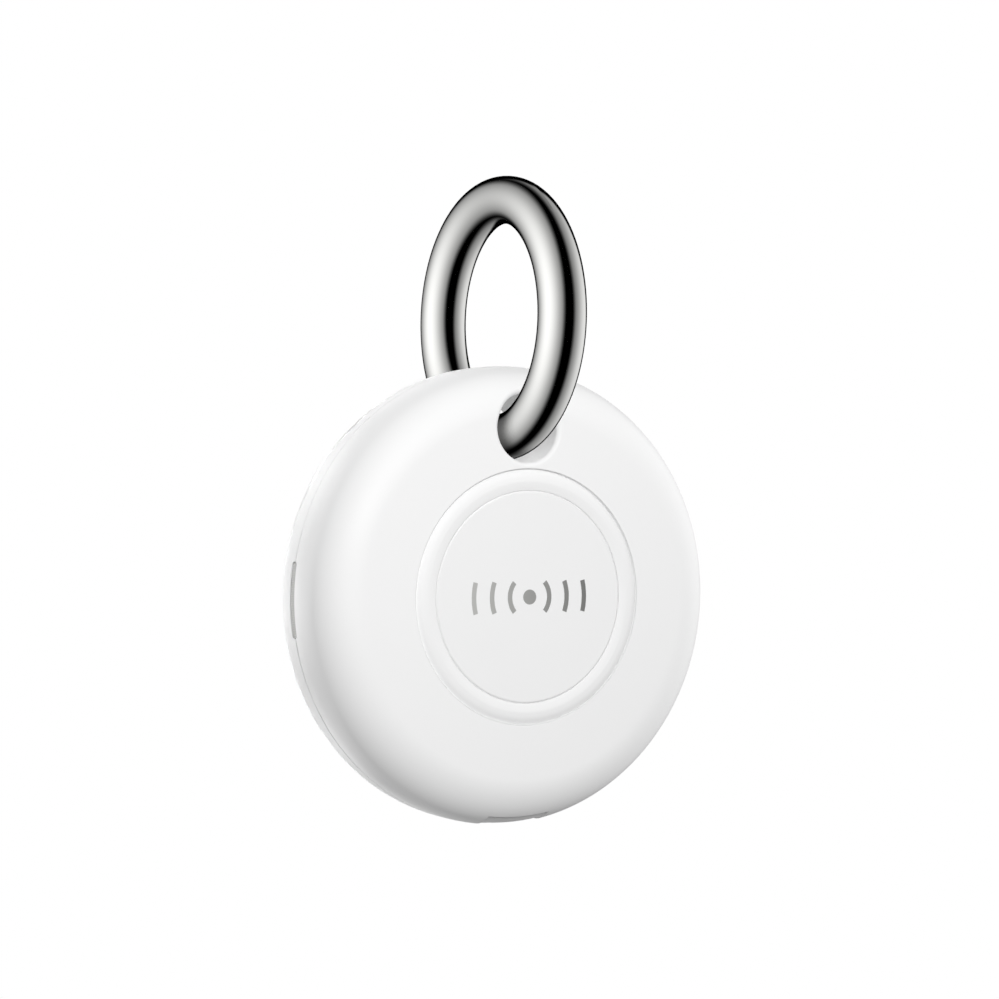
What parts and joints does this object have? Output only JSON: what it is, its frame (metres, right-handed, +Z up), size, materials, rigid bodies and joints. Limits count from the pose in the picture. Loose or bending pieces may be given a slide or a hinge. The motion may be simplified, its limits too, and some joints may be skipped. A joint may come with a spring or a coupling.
{
  "type": "bluetooth tracker tag",
  "caption": "Round white tracker tag with a push button in its front, a key hole at its edge and a dark chrome spring-gate key ring.",
  "frame": {"origin": "centre of the key ring's loop, which the tag hangs under", "axes": "+Z up, from the tag to the ring; -Y the front with the button; +X to the right seen from the front, and the key ring's own axis"},
  "size_m": [0.0384, 0.024, 0.0545],
  "materials": {
    "case_white": "smooth satin white",
    "button_white": "smooth satin white",
    "disc_white": "smooth satin white",
    "print_silver": "silver-grey print",
    "mesh_grey": "woven",
    "gasket_rubber": "moulded",
    "black_moulding": "moulded",
    "sheet_steel": "stamped",
    "board_green": "solder mask",
    "component_ceramic": "fired",
    "frame_grey": "moulded",
    "screw_steel": "zinc plated",
    "cell_steel": "stamped",
    "seal_nylon": "moulded",
    "pellet_black": "pressed",
    "contact_gold": "gold plated",
    "foam_black": "foam",
    "ring_dark_chrome": "polished, dark chrome plated",
    "pin_steel": "polished",
    "spring_steel": "drawn wire"
  },
  "bodies": {
    "ring": {"ring_body": "ring_dark_chrome", "gate_pin": "pin_steel"},
    "gate": {"ring_gate": "ring_dark_chrome", "gate_spring": "spring_steel"},
    "tag": {"front_shell": "case_white", "rear_cover": "case_white", "sealing_gasket": "gasket_rubber", "slot_mesh": "mesh_grey", "switch_housing": "black_moulding", "switch_cover": "sheet_steel", "switch_dome": "sheet_steel", "circuit_board": "board_green", "radio_chip": "black_moulding", "clock_crystal": "sheet_steel", "chip_antenna": "component_ceramic", "passive_components": "component_ceramic", "buzzer": "black_moulding", "inner_frame": "frame_grey", "frame_screws": "screw_steel", "cell_can": "cell_steel", "cell_cap": "cell_steel", "cell_seal": "seal_nylon", "cell_electrodes": "pellet_black", "negative_contact": "contact_gold", "positive_contact": "contact_gold", "battery_pad": "foam_black"},
    "button": {"button_cap": "button_white", "button_disc": "disc_white", "signal_mark": "print_silver", "switch_plunger": "black_moulding"}
  },
  "joints": [
    {"name": "tag_swing", "type": "hinge", "parent": "ring", "child": "tag", "pos_m": [0, 0, -0.00932], "axis": [0, 1, 0], "range_deg": [-90, 90]},
    {"name": "gate_open", "type": "hinge", "parent": "ring", "child": "gate", "pos_m": [0, 0.00559, -0.00829], "axis": [1, 0, 0], "range_deg": [0, 26], "stiffness_Nm_per_rad": 0.0008, "springref_deg": -17.19},
    {"name": "button_press", "type": "slide", "parent": "tag", "child": "button", "axis": [0, 1, 0], "range_m": [0, 0.00025], "stiffness_N_per_m": 100, "springref_m": -0.001, "deforming": ["switch_dome"]}
  ]
}
